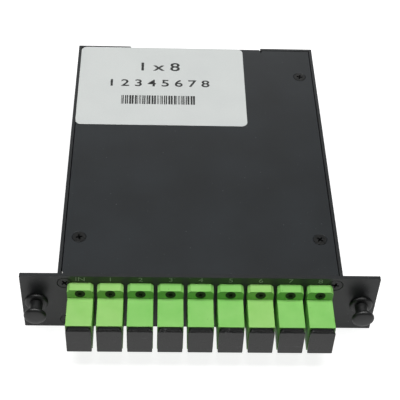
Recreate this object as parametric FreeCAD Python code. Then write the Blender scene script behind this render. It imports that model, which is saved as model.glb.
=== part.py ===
import FreeCAD, Part
import math
import os
from FreeCAD import Vector

# A plug-in fibre splitter cassette: a folded steel case behind a front plate that carries nine
# SC/APC adapters with dust caps, and two push-pull latches. Millimetres, +Z up.
# +X is to the right seen from the ports, and +Y runs from the ports to the rear of the case.
# The origin is the middle of the bounding box's floor.

# ---- Front plate -----------------------------------------------------------------------------
EAR_REACH = 13.6  # plate beyond each side of the case
PLATE_HEIGHT = 29.0
PLATE_THICKNESS = 1.5
PLATE_CORNER = 0.4

# ---- Folded case -----------------------------------------------------------------------------
SHEET = 1.2
BEND_INNER = 0.4
BEND_OUTER = BEND_INNER + SHEET
CASE_WIDTH = 102.8
CASE_DEPTH = 130.9
CASE_DROP = 0.2  # the case's top lies this far below the plate's top
SEAM = 0.35  # gap beside and behind the lid
FRONT_SEAM = 0.2
SLIT = 0.3  # bend relief between the case's walls

# ---- Lid -------------------------------------------------------------------------------------
LID_TAB_WIDTH = 56.6
LID_TAB_DROP = 12.0
LID_BEND_OUTER = 1.4
RELIEF_WIDTH = 1.2
RELIEF_DEPTH = 1.8
LID_SCREW_INSET = 6.7  # from the case's side
LID_SCREW_FRONT = 17.7  # behind the plate
LID_SCREW_REAR = 19.0  # ahead of the case's rear

# ---- Lid brackets ----------------------------------------------------------------------------
BRACKET_REACH = 9.3
BRACKET_DROP = 8.0
BRACKET_LENGTH = 10.0

# ---- Countersunk screws ----------------------------------------------------------------------
M3_RADIUS = 1.5
M3_HEAD_RADIUS = 2.65
M3_LENGTH = 5.0
M25_RADIUS = 1.25
M25_HEAD_RADIUS = 2.35
M25_LENGTH = 4.0
M2_RADIUS = 1.0
M2_HEAD_RADIUS = 1.65
M2_END = 0.4  # thread beyond the nut
PLAIN_GAP = 0.1  # around a thread in a plain hole
THREAD_GAP = 0.02  # around a thread in a tapped hole
HEAD_GAP = 0.1  # around a head at its seat's rim

# ---- Places of the screws in the plate -------------------------------------------------------
PLATE_SCREW_INSET = 2.5  # from the case's side
PLATE_SCREW_Z = 10.7  # above and below the ports' axis
TAB_REACH = 4.3
TAB_HALF = 3.1
LUG_SCREW_Z = 8.96
NUT_FLATS = 4.0
NUT_HEIGHT = 1.6

# ---- Ports -----------------------------------------------------------------------------------
PORT_NAMES = ["in", "1", "2", "3", "4", "5", "6", "7", "8"]
PORT_INSET = 8.12  # from the case's side to the outer ports' axes
ADAPTER_WIDTH = 9.36
ADAPTER_HEIGHT = 13.24
ADAPTER_CORNER = 0.35
ADAPTER_FRONT = 16.07  # ahead of the plate
ADAPTER_LENGTH = 27.4
LUG_HEIGHT = 21.9
LUG_THICKNESS = 3.49
LUG_CHAMFER = 1.0
WINDOW_GAP = 0.06

# ---- Inside a port ---------------------------------------------------------------------------
CAVITY_WIDTH = 7.6
CAVITY_HEIGHT = 9.2
PARTITION = 1.4
KEYWAY_WIDTH = 2.6
KEYWAY_DEPTH = 1.2
HOLDER_RADIUS = 2.2
HOLDER_REACH = 7.5
HOOK_WIDTH = 3.0
HOOK_Z = 2.65
HOOK_THICKNESS = 0.65
HOOK_REACH = 6.8
SLEEVE_OUTER = 1.6
SLEEVE_INNER = 1.26
SLEEVE_LENGTH = 11.4
SLEEVE_SLIT = 0.4
SLEEVE_GAP = 0.04
FERRULE_RADIUS = 1.25
FERRULE_GAP = 0.1

# ---- Dust caps -------------------------------------------------------------------------------
CAP_WIDTH = 8.96
CAP_HEIGHT = 11.67
CAP_CORNER = 0.35
CAP_HEAD = 0.7
CAP_NECK_WIDTH = 8.6
CAP_NECK_HEIGHT = 12.4
CAP_NECK_CORNER = 1.1
CAP_NECK = 1.31
CAP_SEAT = 0.05
CAP_PLUG_LENGTH = 9.0
CAP_PLUG_GAP = 0.15
CAP_PLUG_CORNER = 0.5
CAP_WALL = 0.8
FRONT_REACH = PLATE_THICKNESS + ADAPTER_FRONT + CAP_NECK + CAP_HEAD

# ---- Push-pull latches -----------------------------------------------------------------------
LATCH_INSET = 5.3  # from the plate's end
GROMMET_FLANGE_RADIUS = 4.3
GROMMET_FLANGE = 1.26
GROMMET_RADIUS = 3.15
GROMMET_REACH = 9.0  # behind the plate's front
GROMMET_HOLE_GAP = 0.05
GROMMET_SLOT = 1.0
SNAP_RIDGE = 0.3
SNAP_LENGTH = 1.2
LEG_LIP = 2.4
PLUNGER_RADIUS = 2.4
PLUNGER_GAP = 0.05
PLUNGER_TRAVEL = 4.2
NOSE_RADIUS = 1.85
LIP_GAP = 0.15
KNOB_RADIUS = 4.1
KNOB_THICKNESS = 2.15
KNOB_FACE = 7.9  # ahead of the plate
KNOB_DOME = 0.35

# ---- Connectors inside the case --------------------------------------------------------------
PLUG_WIDTH = 7.4
PLUG_HEIGHT = 9.0
PLUG_CORNER = 0.5
PLUG_WALL = 0.85
PLUG_INSERTION = 9.0
PLUG_TAIL = 9.5
PLUG_KEY_WIDTH = 2.0
PLUG_KEY_HEIGHT = 0.9
BOOT_LENGTH = 8.5
BOOT_RADIUS = 2.6
BOOT_TIP_RADIUS = 1.1
BOOT_RIB = 0.35
FERRULE_LENGTH = 16.0

# ---- Splitter module -------------------------------------------------------------------------
TAPE_THICKNESS = 1.0
MODULE_REAR = 16.9  # ahead of the case's rear
MODULE_LENGTH = 50.0
MODULE_WIDTH = 9.0
MODULE_HEIGHT = 4.0
MODULE_WALL = 0.4
MODULE_CORNER = 0.8
END_PLUG = 3.0
CHIP_LENGTH = 13.0
CHIP_WIDTH = 4.0
ARRAY_LENGTH = 7.0
LANE_PITCH = 1.0

# ---- Fibres ----------------------------------------------------------------------------------
FIBRE_RADIUS = 0.45
FIBRE_BORE = 0.5
FIBRE_HIDDEN = 2.0  # length of fibre inside a boot's end or an end plug
ARC_SHARE = 0.45  # of the shorter run, taken by each bend
TURN_SHARE = 0.17  # of the way from the boots to the module, before an output fibre turns in
LANE_SHARE = 0.47  # of that way, run in the fibre's own lane
STAGGER = 1.0  # between the bends of neighbouring fibres

# ---- Label -----------------------------------------------------------------------------------
LABEL_SIDE = 0.1  # from the left wall
LABEL_REAR = 0.9  # ahead of the case's rear
LABEL_WIDTH = 70.7
LABEL_DEPTH = 50.6
LABEL_THICKNESS = 0.12
LABEL_CORNER = 2.5

# ---- Places worked out from the sizes --------------------------------------------------------
OVERCUT = 1.0  # how far a cutting tool passes a face
PLATE_WIDTH = CASE_WIDTH + 2 * EAR_REACH
PLATE_REAR = (FRONT_REACH - CASE_DEPTH) / 2
PLATE_FRONT = PLATE_REAR - PLATE_THICKNESS
CASE_REAR = PLATE_REAR + CASE_DEPTH
CASE_TOP = PLATE_HEIGHT - CASE_DROP
LID_UNDER = CASE_TOP - SHEET
WALL_OUTER = CASE_WIDTH / 2
WALL_INNER = WALL_OUTER - SHEET
AXIS_Z = PLATE_HEIGHT / 2
PORT_PITCH = (CASE_WIDTH - 2 * PORT_INSET) / (len(PORT_NAMES) - 1)
PORT_X = [PORT_INSET - WALL_OUTER + PORT_PITCH * i for i in range(len(PORT_NAMES))]
MOUTH_FRONT = PLATE_FRONT - ADAPTER_FRONT
MOUTH_REAR = MOUTH_FRONT + ADAPTER_LENGTH
PORT_MIDDLE = MOUTH_FRONT + ADAPTER_LENGTH / 2
BOOT_FRONT = MOUTH_REAR + PLUG_TAIL
BOOT_END = BOOT_FRONT + BOOT_LENGTH
MODULE_END = CASE_REAR - MODULE_REAR
MODULE_START = MODULE_END - MODULE_LENGTH
MODULE_X = sum(PORT_X[1:]) / len(PORT_X[1:])
MODULE_Z = SHEET + TAPE_THICKNESS + MODULE_HEIGHT / 2
INWARD = Vector(0, 1, 0)
OUTWARD = Vector(0, -1, 0)
DOWN = Vector(0, 0, -1)


# ---- Shapes ----------------------------------------------------------------------------------
def block(x, y, z):
    """A box between the given (low, high) limits."""
    corner = Vector(x[0], y[0], z[0])
    return Part.makeBox(x[1] - x[0], y[1] - y[0], z[1] - z[0], corner)


def outline(corners):
    """A closed flat wire through corners (u, v, radius), with an arc where the radius isn't 0."""
    points = [Vector(u, v, 0) for u, v, _ in corners]
    edges, ends = [], []
    for i, (_, _, radius) in enumerate(corners):
        corner = points[i]
        back = (points[i - 1] - corner).normalize()
        ahead = (points[(i + 1) % len(points)] - corner).normalize()
        half = back.getAngle(ahead) / 2
        start = corner + back * (radius / math.tan(half))
        end = corner + ahead * (radius / math.tan(half))
        ends.append((start, end))
        if radius:
            middle = corner + (back + ahead).normalize() * (radius / math.sin(half) - radius)
            edges.append(Part.Arc(start, middle, end).toShape())
    for i, (_, end) in enumerate(ends):
        start = ends[(i + 1) % len(ends)][0]
        edges.append(Part.LineSegment(end, start).toShape())
    return Part.Wire(Part.__sortEdges__(edges))


def prism(corners, axis, low, high):
    """An outline pushed along an axis. It is drawn in (y, z), (x, z) or (x, y)."""
    turn = {
        "x": FreeCAD.Rotation(Vector(0, 1, 0), Vector(0, 0, 1), Vector(1, 0, 0), "XYZ"),
        "y": FreeCAD.Rotation(Vector(1, 0, 0), Vector(0, 0, 1), Vector(0, -1, 0), "XYZ"),
        "z": FreeCAD.Rotation(),
    }[axis]
    along = {"x": Vector(1, 0, 0), "y": Vector(0, 1, 0), "z": Vector(0, 0, 1)}[axis]
    face = Part.Face(outline(corners))
    face.Placement = FreeCAD.Placement(along * low, turn)
    return face.extrude(along * (high - low))


def rectangle(u, v, width, height, radius):
    """The corners of a rectangle about (u, v), for prism."""
    signs = [(-1, -1), (1, -1), (1, 1), (-1, 1)]
    return [(u + a * width / 2, v + b * height / 2, radius) for a, b in signs]


def bar(x, width, height, radius, y):
    """A rounded bar along Y on a port's axis."""
    return prism(rectangle(x, AXIS_Z, width, height, radius), "y", *y)


def rod(x, z, radius, y):
    """A cylinder along Y."""
    return Part.makeCylinder(radius, y[1] - y[0], Vector(x, y[0], z), Vector(0, 1, 0))


def taper(at, direction, start_radius, end_radius, length):
    """A cone from a point."""
    return Part.makeCone(start_radius, end_radius, length, at, direction)


def cut_all(shape, tools):
    return shape.cut(Part.makeCompound(tools))


def fuse_all(shapes):
    return shapes[0].multiFuse(shapes[1:]).removeSplitter()


def mirrored(shape):
    """The shape's twin on the other side of the case."""
    return shape.mirror(Vector(0, 0, 0), Vector(1, 0, 0))


# ---- Screws ----------------------------------------------------------------------------------
def countersunk_screw(at, direction, radius, head_radius, length):
    """A screw whose flat head lies at a point, with a right-angled cone under it."""
    head = taper(at, direction, head_radius, radius, head_radius - radius)
    return fuse_all([head, Part.makeCylinder(radius, length, at, direction)])


def countersunk_hole(at, direction, radius, head_radius, deep):
    """What a countersunk screw takes out of a sheet: a cone and its plain hole."""
    start, end = head_radius + HEAD_GAP, radius + PLAIN_GAP
    cone = taper(at, direction, start, end, start - end)
    return fuse_all([cone, Part.makeCylinder(end, deep, at, direction)])


def lid_screw_places():
    x = WALL_OUTER - LID_SCREW_INSET
    rows = [PLATE_REAR + LID_SCREW_FRONT, CASE_REAR - LID_SCREW_REAR]
    return [Vector(side * x, y, CASE_TOP) for y in rows for side in (-1, 1)]


def plate_screw_places():
    x = WALL_OUTER - PLATE_SCREW_INSET
    rows = [AXIS_Z - PLATE_SCREW_Z, AXIS_Z + PLATE_SCREW_Z]
    return [Vector(side * x, PLATE_FRONT, z) for z in rows for side in (-1, 1)]


def lug_screw_places():
    rows = [AXIS_Z - LUG_SCREW_Z, AXIS_Z + LUG_SCREW_Z]
    return [Vector(x, PLATE_FRONT - LUG_THICKNESS, z) for z in rows for x in PORT_X]


def lid_screws():
    size = (M3_RADIUS, M3_HEAD_RADIUS, M3_LENGTH)
    return Part.makeCompound([countersunk_screw(at, DOWN, *size) for at in lid_screw_places()])


def plate_screws():
    size = (M25_RADIUS, M25_HEAD_RADIUS, M25_LENGTH)
    return Part.makeCompound([countersunk_screw(at, INWARD, *size) for at in plate_screw_places()])


def adapter_screws():
    """M2 screws through the adapters' lugs and the plate, to their nuts."""
    length = LUG_THICKNESS + PLATE_THICKNESS + NUT_HEIGHT + M2_END
    size = (M2_RADIUS, M2_HEAD_RADIUS, length)
    return Part.makeCompound([countersunk_screw(at, INWARD, *size) for at in lug_screw_places()])


def adapter_nuts():
    """Hexagon nuts behind the plate, with two flats level."""
    nuts = []
    radius = NUT_FLATS / math.sqrt(3)
    angles = [math.radians(60 * i) for i in range(6)]
    for at in lug_screw_places():
        corners = [(at.x + radius * math.cos(a), at.z + radius * math.sin(a), 0) for a in angles]
        nut = prism(corners, "y", PLATE_REAR, PLATE_REAR + NUT_HEIGHT)
        hole = (PLATE_REAR - OVERCUT, PLATE_REAR + NUT_HEIGHT + OVERCUT)
        nuts.append(nut.cut(rod(at.x, at.z, M2_RADIUS + THREAD_GAP, hole)))
    return Part.makeCompound(nuts)


# ---- Case ------------------------------------------------------------------------------------
def corner_tab(z):
    """A front tab bent in from the right wall, behind the plate, over a height range z."""
    inner = WALL_INNER - TAB_REACH
    corners = [
        (inner, PLATE_REAR, 0),
        (WALL_OUTER, PLATE_REAR, BEND_OUTER),
        (WALL_OUTER, PLATE_REAR + 2 * BEND_OUTER, 0),
        (WALL_INNER, PLATE_REAR + 2 * BEND_OUTER, 0),
        (WALL_INNER, PLATE_REAR + SHEET, BEND_INNER),
        (inner, PLATE_REAR + SHEET, 0),
    ]
    return prism(corners, "z", *z)


def base_tray():
    """One folded sheet: floor, side walls with front tabs, and a rear wall."""
    section = [
        (-WALL_OUTER, CASE_TOP, 0),
        (-WALL_OUTER, 0, BEND_OUTER),
        (WALL_OUTER, 0, BEND_OUTER),
        (WALL_OUTER, CASE_TOP, 0),
        (WALL_INNER, CASE_TOP, 0),
        (WALL_INNER, SHEET, BEND_INNER),
        (-WALL_INNER, SHEET, BEND_INNER),
        (-WALL_INNER, CASE_TOP, 0),
    ]
    channel = prism(section, "y", PLATE_REAR, CASE_REAR)
    bend_start = CASE_REAR - BEND_OUTER
    rear_section = [
        (bend_start - SHEET, 0, 0),
        (CASE_REAR, 0, BEND_OUTER),
        (CASE_REAR, CASE_TOP, 0),
        (CASE_REAR - SHEET, CASE_TOP, 0),
        (CASE_REAR - SHEET, SHEET, BEND_INNER),
        (bend_start - SHEET, SHEET, 0),
    ]
    half = WALL_INNER - SLIT
    rear = prism(rear_section, "x", -half, half)
    notch = LID_TAB_WIDTH / 2 + SEAM
    notch_floor = CASE_TOP - LID_TAB_DROP - SEAM
    behind, above = (bend_start, CASE_REAR + OVERCUT), CASE_TOP + OVERCUT
    rear = rear.cut(block((-notch, notch), behind, (notch_floor, above)))
    channel = channel.cut(block((-WALL_INNER, WALL_INNER), behind, (-OVERCUT, above)))
    shapes = [channel, rear]
    for low, high in tab_heights():
        bend = (PLATE_REAR - OVERCUT, PLATE_REAR + BEND_OUTER)
        for side in (-1, 1):
            x = sorted((side * (WALL_OUTER - BEND_OUTER), side * (WALL_OUTER + OVERCUT)))
            shapes[0] = shapes[0].cut(block(x, bend, (low, high)))
        tab = corner_tab((low, high))
        shapes += [tab, mirrored(tab)]
    deep = PLATE_THICKNESS + 2 * SHEET
    tapped = [
        Part.makeCylinder(M25_RADIUS + THREAD_GAP, deep, at, INWARD) for at in plate_screw_places()
    ]
    return cut_all(fuse_all(shapes), tapped)


def tab_heights():
    """Height ranges of the lower and the upper front tabs."""
    lower = AXIS_Z - PLATE_SCREW_Z
    upper = AXIS_Z + PLATE_SCREW_Z
    return [(BEND_OUTER, lower + TAB_HALF), (upper - TAB_HALF, LID_UNDER)]


def lid_brackets():
    """Angles welded inside the side walls, under the lid's screws."""
    brackets = []
    edge = WALL_INNER - BRACKET_REACH
    section = [
        (edge, LID_UNDER, 0),
        (edge, LID_UNDER - SHEET, 0),
        (WALL_INNER - SHEET, LID_UNDER - SHEET, BEND_INNER),
        (WALL_INNER - SHEET, LID_UNDER - BRACKET_DROP, 0),
        (WALL_INNER, LID_UNDER - BRACKET_DROP, 0),
        (WALL_INNER, LID_UNDER, BEND_OUTER),
    ]
    for at in lid_screw_places():
        low, high = at.y - BRACKET_LENGTH / 2, at.y + BRACKET_LENGTH / 2
        bracket = prism(section, "y", low, high)
        if at.x < 0:
            bracket = mirrored(bracket)
        tapped = Part.makeCylinder(M3_RADIUS + THREAD_GAP, 3 * SHEET, at, DOWN)
        brackets.append(bracket.cut(tapped))
    return Part.makeCompound(brackets)


def lid():
    """A flat sheet with one tab bent down over the rear, and countersunk holes."""
    edge = WALL_INNER - SEAM
    front, rear = PLATE_REAR + FRONT_SEAM, CASE_REAR - SHEET - SEAM
    panel = block((-edge, edge), (front, rear), (LID_UNDER, CASE_TOP))
    section = [
        (rear - SHEET, CASE_TOP, 0),
        (rear - SHEET, LID_UNDER, 0),
        (CASE_REAR - SHEET, LID_UNDER, LID_BEND_OUTER - SHEET),
        (CASE_REAR - SHEET, CASE_TOP - LID_TAB_DROP, 0),
        (CASE_REAR, CASE_TOP - LID_TAB_DROP, 0),
        (CASE_REAR, CASE_TOP, LID_BEND_OUTER),
    ]
    tab = prism(section, "x", -LID_TAB_WIDTH / 2, LID_TAB_WIDTH / 2)
    size = (M3_RADIUS, M3_HEAD_RADIUS)
    tools = [countersunk_hole(at, DOWN, *size, 2 * SHEET) for at in lid_screw_places()]
    for side in (-1, 1):
        middle = side * (LID_TAB_WIDTH + RELIEF_WIDTH) / 2
        notch = [
            (middle - RELIEF_WIDTH / 2, rear + SHEET, 0),
            (middle, rear - RELIEF_DEPTH, 0),
            (middle + RELIEF_WIDTH / 2, rear + SHEET, 0),
        ]
        tools.append(prism(notch, "z", LID_UNDER - OVERCUT, CASE_TOP + OVERCUT))
    return cut_all(fuse_all([panel, tab]), tools)


def front_plate():
    """The plate with its port windows, screw holes and latch holes."""
    face = rectangle(0, AXIS_Z, PLATE_WIDTH, PLATE_HEIGHT, PLATE_CORNER)
    plate = prism(face, "y", PLATE_FRONT, PLATE_REAR)
    through = (PLATE_FRONT - OVERCUT, PLATE_REAR + OVERCUT)
    size = (M25_RADIUS, M25_HEAD_RADIUS)
    width, height = ADAPTER_WIDTH + 2 * WINDOW_GAP, ADAPTER_HEIGHT + 2 * WINDOW_GAP
    tools = [bar(x, width, height, ADAPTER_CORNER, through) for x in PORT_X]
    tools += [rod(at.x, at.z, M2_RADIUS + PLAIN_GAP, through) for at in lug_screw_places()]
    deep = 2 * PLATE_THICKNESS
    tools += [countersunk_hole(at, INWARD, *size, deep) for at in plate_screw_places()]
    tools += [rod(x, AXIS_Z, GROMMET_RADIUS + GROMMET_HOLE_GAP, through) for x in latch_places()]
    return cut_all(plate, tools)


def label():
    x = LABEL_SIDE - WALL_INNER + LABEL_WIDTH / 2
    y = CASE_REAR - LABEL_REAR - LABEL_DEPTH / 2
    corners = rectangle(x, y, LABEL_WIDTH, LABEL_DEPTH, LABEL_CORNER)
    return prism(corners, "z", CASE_TOP, CASE_TOP + LABEL_THICKNESS)


# ---- Ports -----------------------------------------------------------------------------------
def adapter(x):
    """A moulded SC adapter housing with a screw lug above and below."""
    body = bar(x, ADAPTER_WIDTH, ADAPTER_HEIGHT, ADAPTER_CORNER, (MOUTH_FRONT, MOUTH_REAR))
    half, top, cut = ADAPTER_WIDTH / 2, LUG_HEIGHT / 2, LUG_CHAMFER
    upper = [(half, top - cut), (half - cut, top), (cut - half, top), (-half, top - cut)]
    lug_corners = [(x + u, AXIS_Z + v, 0) for u, v in upper]
    lug_corners += [(x - u, AXIS_Z - v, 0) for u, v in upper]
    lug = prism(lug_corners, "y", PLATE_FRONT - LUG_THICKNESS, PLATE_FRONT)
    shell = fuse_all([body, lug])
    tools = []
    for y in cavity_ranges():
        tools.append(bar(x, CAVITY_WIDTH, CAVITY_HEIGHT, 0, y))
        keyway_z = (AXIS_Z, AXIS_Z + CAVITY_HEIGHT / 2 + KEYWAY_DEPTH)
        tools.append(block((x - KEYWAY_WIDTH / 2, x + KEYWAY_WIDTH / 2), y, keyway_z))
    size = (M2_RADIUS, M2_HEAD_RADIUS, 2 * LUG_THICKNESS)
    for at in lug_screw_places():
        if at.x == x:
            tools.append(countersunk_hole(at, INWARD, *size))
    shell = cut_all(shell, tools)
    inner = [rod(x, AXIS_Z, HOLDER_RADIUS, span(HOLDER_REACH))]
    for side in (-1, 1):
        z = sorted((AXIS_Z + side * HOOK_Z, AXIS_Z + side * (HOOK_Z + HOOK_THICKNESS)))
        inner.append(block((x - HOOK_WIDTH / 2, x + HOOK_WIDTH / 2), span(HOOK_REACH), z))
    moulding = fuse_all([shell] + inner)
    bores = [
        rod(x, AXIS_Z, SLEEVE_OUTER + SLEEVE_GAP, span(SLEEVE_LENGTH / 2 + SLEEVE_GAP)),
        rod(x, AXIS_Z, FERRULE_RADIUS + FERRULE_GAP, span(ADAPTER_LENGTH / 2)),
    ]
    return cut_all(moulding, bores)


def span(reach):
    """A range along Y about the middle of the ports."""
    return PORT_MIDDLE - reach, PORT_MIDDLE + reach


def cavity_ranges():
    """Front and rear cavity of a port along Y."""
    front = (MOUTH_FRONT - OVERCUT, PORT_MIDDLE - PARTITION / 2)
    return [front, (PORT_MIDDLE + PARTITION / 2, MOUTH_REAR + OVERCUT)]


def alignment_sleeves():
    """Slit ceramic sleeves, one in each port."""
    sleeves = []
    reach = SLEEVE_LENGTH / 2
    for x in PORT_X:
        ring = rod(x, AXIS_Z, SLEEVE_OUTER, span(reach)).cut(
            rod(x, AXIS_Z, SLEEVE_INNER, span(reach))
        )
        slit_x = (x - SLEEVE_SLIT / 2, x + SLEEVE_SLIT / 2)
        slit = block(slit_x, span(reach), (AXIS_Z, AXIS_Z + 2 * SLEEVE_OUTER))
        sleeves.append(ring.cut(slit))
    return Part.makeCompound(sleeves)


def dust_cap(x):
    """A cap with a flat head, a rounded neck and a hollow plug."""
    neck_end = MOUTH_FRONT - CAP_SEAT
    neck_start = MOUTH_FRONT - CAP_NECK
    head_start = neck_start - CAP_HEAD
    plug_end = MOUTH_FRONT + CAP_PLUG_LENGTH
    width, height = CAVITY_WIDTH - 2 * CAP_PLUG_GAP, CAVITY_HEIGHT - 2 * CAP_PLUG_GAP
    shapes = [
        bar(x, CAP_WIDTH, CAP_HEIGHT, CAP_CORNER, (head_start, neck_start)),
        bar(x, CAP_NECK_WIDTH, CAP_NECK_HEIGHT, CAP_NECK_CORNER, (neck_start, neck_end)),
        bar(x, width, height, CAP_PLUG_CORNER, (neck_end, plug_end)),
    ]
    hollow = (head_start + CAP_WALL, plug_end + OVERCUT)
    inside = bar(x, width - 2 * CAP_WALL, height - 2 * CAP_WALL, 0, hollow)
    return fuse_all(shapes).cut(inside)


# ---- Latches ---------------------------------------------------------------------------------
def latch_places():
    reach = PLATE_WIDTH / 2 - LATCH_INSET
    return [-reach, reach]


def grommet(x):
    """A slit nylon barrel that snaps into the plate and enters the rack's frame."""
    end = PLATE_FRONT + GROMMET_REACH
    bevel = GROMMET_FLANGE / 3
    bevel_at = Vector(x, PLATE_FRONT - 2 * bevel, AXIS_Z)
    ridge_at = Vector(x, PLATE_REAR + GROMMET_HOLE_GAP, AXIS_Z)
    ridge_radius = GROMMET_RADIUS + SNAP_RIDGE
    shapes = [
        rod(x, AXIS_Z, GROMMET_FLANGE_RADIUS, (PLATE_FRONT - 2 * bevel, PLATE_FRONT)),
        taper(bevel_at, OUTWARD, GROMMET_FLANGE_RADIUS, GROMMET_FLANGE_RADIUS - bevel, bevel),
        rod(x, AXIS_Z, GROMMET_RADIUS, (PLATE_FRONT, end)),
        taper(ridge_at, INWARD, ridge_radius, GROMMET_RADIUS, SNAP_LENGTH),
    ]
    bore = PLUNGER_RADIUS + PLUNGER_GAP
    half = GROMMET_SLOT / 2
    tools = [
        rod(x, AXIS_Z, bore, (PLATE_FRONT - GROMMET_FLANGE - OVERCUT, end - LEG_LIP)),
        rod(x, AXIS_Z, NOSE_RADIUS + LIP_GAP, (PLATE_FRONT, end + OVERCUT)),
        block(
            (x - 2 * GROMMET_RADIUS, x + 2 * GROMMET_RADIUS),
            (PLATE_REAR + SNAP_LENGTH / 2, end + OVERCUT),
            (AXIS_Z - half, AXIS_Z + half),
        ),
    ]
    return cut_all(fuse_all(shapes), tools)


def plunger(x):
    """A domed knob, its neck and the nose that spreads the barrel's legs."""
    face = PLATE_FRONT - KNOB_FACE
    knob_end = face + KNOB_THICKNESS
    bevel = KNOB_THICKNESS / 5
    shoulder = PLATE_FRONT + GROMMET_REACH - LEG_LIP - PLUNGER_TRAVEL - LIP_GAP - bevel
    tip = PLATE_FRONT + GROMMET_REACH - LIP_GAP
    profile = [
        (0, face),
        (KNOB_RADIUS - bevel, face + KNOB_DOME),
        (KNOB_RADIUS, face + KNOB_DOME + bevel),
        (KNOB_RADIUS, knob_end - bevel),
        (KNOB_RADIUS - bevel, knob_end),
        (PLUNGER_RADIUS, knob_end),
        (PLUNGER_RADIUS, shoulder),
        (NOSE_RADIUS, shoulder + bevel),
        (NOSE_RADIUS, tip - bevel),
        (NOSE_RADIUS - bevel, tip),
        (0, tip),
    ]
    points = [Vector(x + r, y, AXIS_Z) for r, y in profile]
    crown = (points[0] + points[1]) / 2 + OUTWARD * (KNOB_DOME / 4)
    dome = Part.Arc(points[0], crown, points[1]).toShape()
    rest = Part.makePolygon(points[1:] + points[:1])
    return Part.Face(Part.Wire([dome] + rest.Edges)).revolve(points[0], INWARD, 360)


# ---- Connectors ------------------------------------------------------------------------------
def connector(x):
    """The SC plug that sits in a port's rear: its grip, key and front pocket."""
    front = MOUTH_REAR - PLUG_INSERTION
    grip = bar(x, PLUG_WIDTH, PLUG_HEIGHT, PLUG_CORNER, (front, BOOT_FRONT))
    key_z = (AXIS_Z, AXIS_Z + PLUG_HEIGHT / 2 + PLUG_KEY_HEIGHT)
    key_x = (x - PLUG_KEY_WIDTH / 2, x + PLUG_KEY_WIDTH / 2)
    key = block(key_x, (front, MOUTH_REAR - LIP_GAP), key_z)
    width, height = PLUG_WIDTH - 2 * PLUG_WALL, PLUG_HEIGHT - 2 * PLUG_WALL
    pocket_end = PORT_MIDDLE + HOLDER_REACH + LIP_GAP
    pocket = bar(x, width, height, PLUG_CORNER, (front - OVERCUT, pocket_end))
    bore = rod(x, AXIS_Z, FERRULE_RADIUS + THREAD_GAP, (front, BOOT_FRONT + OVERCUT))
    return cut_all(fuse_all([grip, key]), [pocket, bore])


def connector_boots():
    """Ribbed strain-relief boots behind the plugs."""
    boots = []
    for x in PORT_X:
        at = Vector(x, BOOT_FRONT, AXIS_Z)
        shapes = [taper(at, INWARD, BOOT_RADIUS, BOOT_TIP_RADIUS, BOOT_LENGTH)]
        for share in (0.25, 0.5):
            radius = BOOT_RADIUS + (BOOT_TIP_RADIUS - BOOT_RADIUS) * share + BOOT_RIB
            middle = BOOT_FRONT + share * BOOT_LENGTH
            shapes.append(rod(x, AXIS_Z, radius, (middle - BOOT_RIB, middle + BOOT_RIB)))
        bore = rod(x, AXIS_Z, FIBRE_BORE, (BOOT_FRONT - OVERCUT, BOOT_END + OVERCUT))
        boots.append(fuse_all(shapes).cut(bore))
    return Part.makeCompound(boots)


def ferrules():
    """Ceramic ferrules that meet in the sleeves' middle."""
    start = PORT_MIDDLE
    return Part.makeCompound(
        [rod(x, AXIS_Z, FERRULE_RADIUS, (start, start + FERRULE_LENGTH)) for x in PORT_X]
    )


# ---- Splitter module -------------------------------------------------------------------------
def module_bar(inset, y):
    """A bar inside or around the module's steel tube."""
    width, height = MODULE_WIDTH - 2 * inset, MODULE_HEIGHT - 2 * inset
    corners = rectangle(MODULE_X, MODULE_Z, width, height, MODULE_CORNER - inset)
    return prism(corners, "y", *y)


def module_tube():
    outer = module_bar(0, (MODULE_START, MODULE_END))
    return outer.cut(module_bar(MODULE_WALL, (MODULE_START - OVERCUT, MODULE_END + OVERCUT)))


def module_end_plugs():
    """Sealed ends: eight fibres leave by the front and one by the rear."""
    front = module_bar(MODULE_WALL, (MODULE_START, MODULE_START + END_PLUG))
    rear = module_bar(MODULE_WALL, (MODULE_END - END_PLUG, MODULE_END))
    y = (MODULE_START - OVERCUT, MODULE_START + END_PLUG + OVERCUT)
    front = cut_all(front, [rod(x, MODULE_Z, FIBRE_BORE - THREAD_GAP, y) for x in lane_places()])
    y = (MODULE_END - END_PLUG - OVERCUT, MODULE_END + OVERCUT)
    rear = rear.cut(rod(MODULE_X, MODULE_Z, FIBRE_BORE, y))
    return Part.makeCompound([front, rear])


def splitter_chip():
    """The glass chip between its two fibre arrays, on the tube's floor."""
    floor = MODULE_Z - MODULE_HEIGHT / 2 + MODULE_WALL
    high = MODULE_HEIGHT - 3 * MODULE_WALL
    middle = (MODULE_START + MODULE_END) / 2
    x = (MODULE_X - CHIP_WIDTH / 2, MODULE_X + CHIP_WIDTH / 2)
    ends = [middle - CHIP_LENGTH / 2, middle + CHIP_LENGTH / 2]
    blocks = [block(x, ends, (floor, floor + high))]
    wide = (x[0] - 3 * MODULE_WALL, x[1] + 3 * MODULE_WALL)
    blocks.append(block(wide, (ends[0] - ARRAY_LENGTH, ends[0]), (floor, floor + high)))
    blocks.append(block(x, (ends[1], ends[1] + ARRAY_LENGTH), (floor, floor + high)))
    return fuse_all(blocks)


def mounting_tape():
    half = MODULE_WIDTH / 2 - MODULE_CORNER
    y = (MODULE_START + END_PLUG, MODULE_END - END_PLUG)
    return block((MODULE_X - half, MODULE_X + half), y, (SHEET, SHEET + TAPE_THICKNESS))


# ---- Fibres ----------------------------------------------------------------------------------
def lane_places():
    """X of the eight output fibres where they enter the module."""
    count = len(PORT_X) - 1
    return [MODULE_X + LANE_PITCH * (i - (count - 1) / 2) for i in range(count)]


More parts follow.
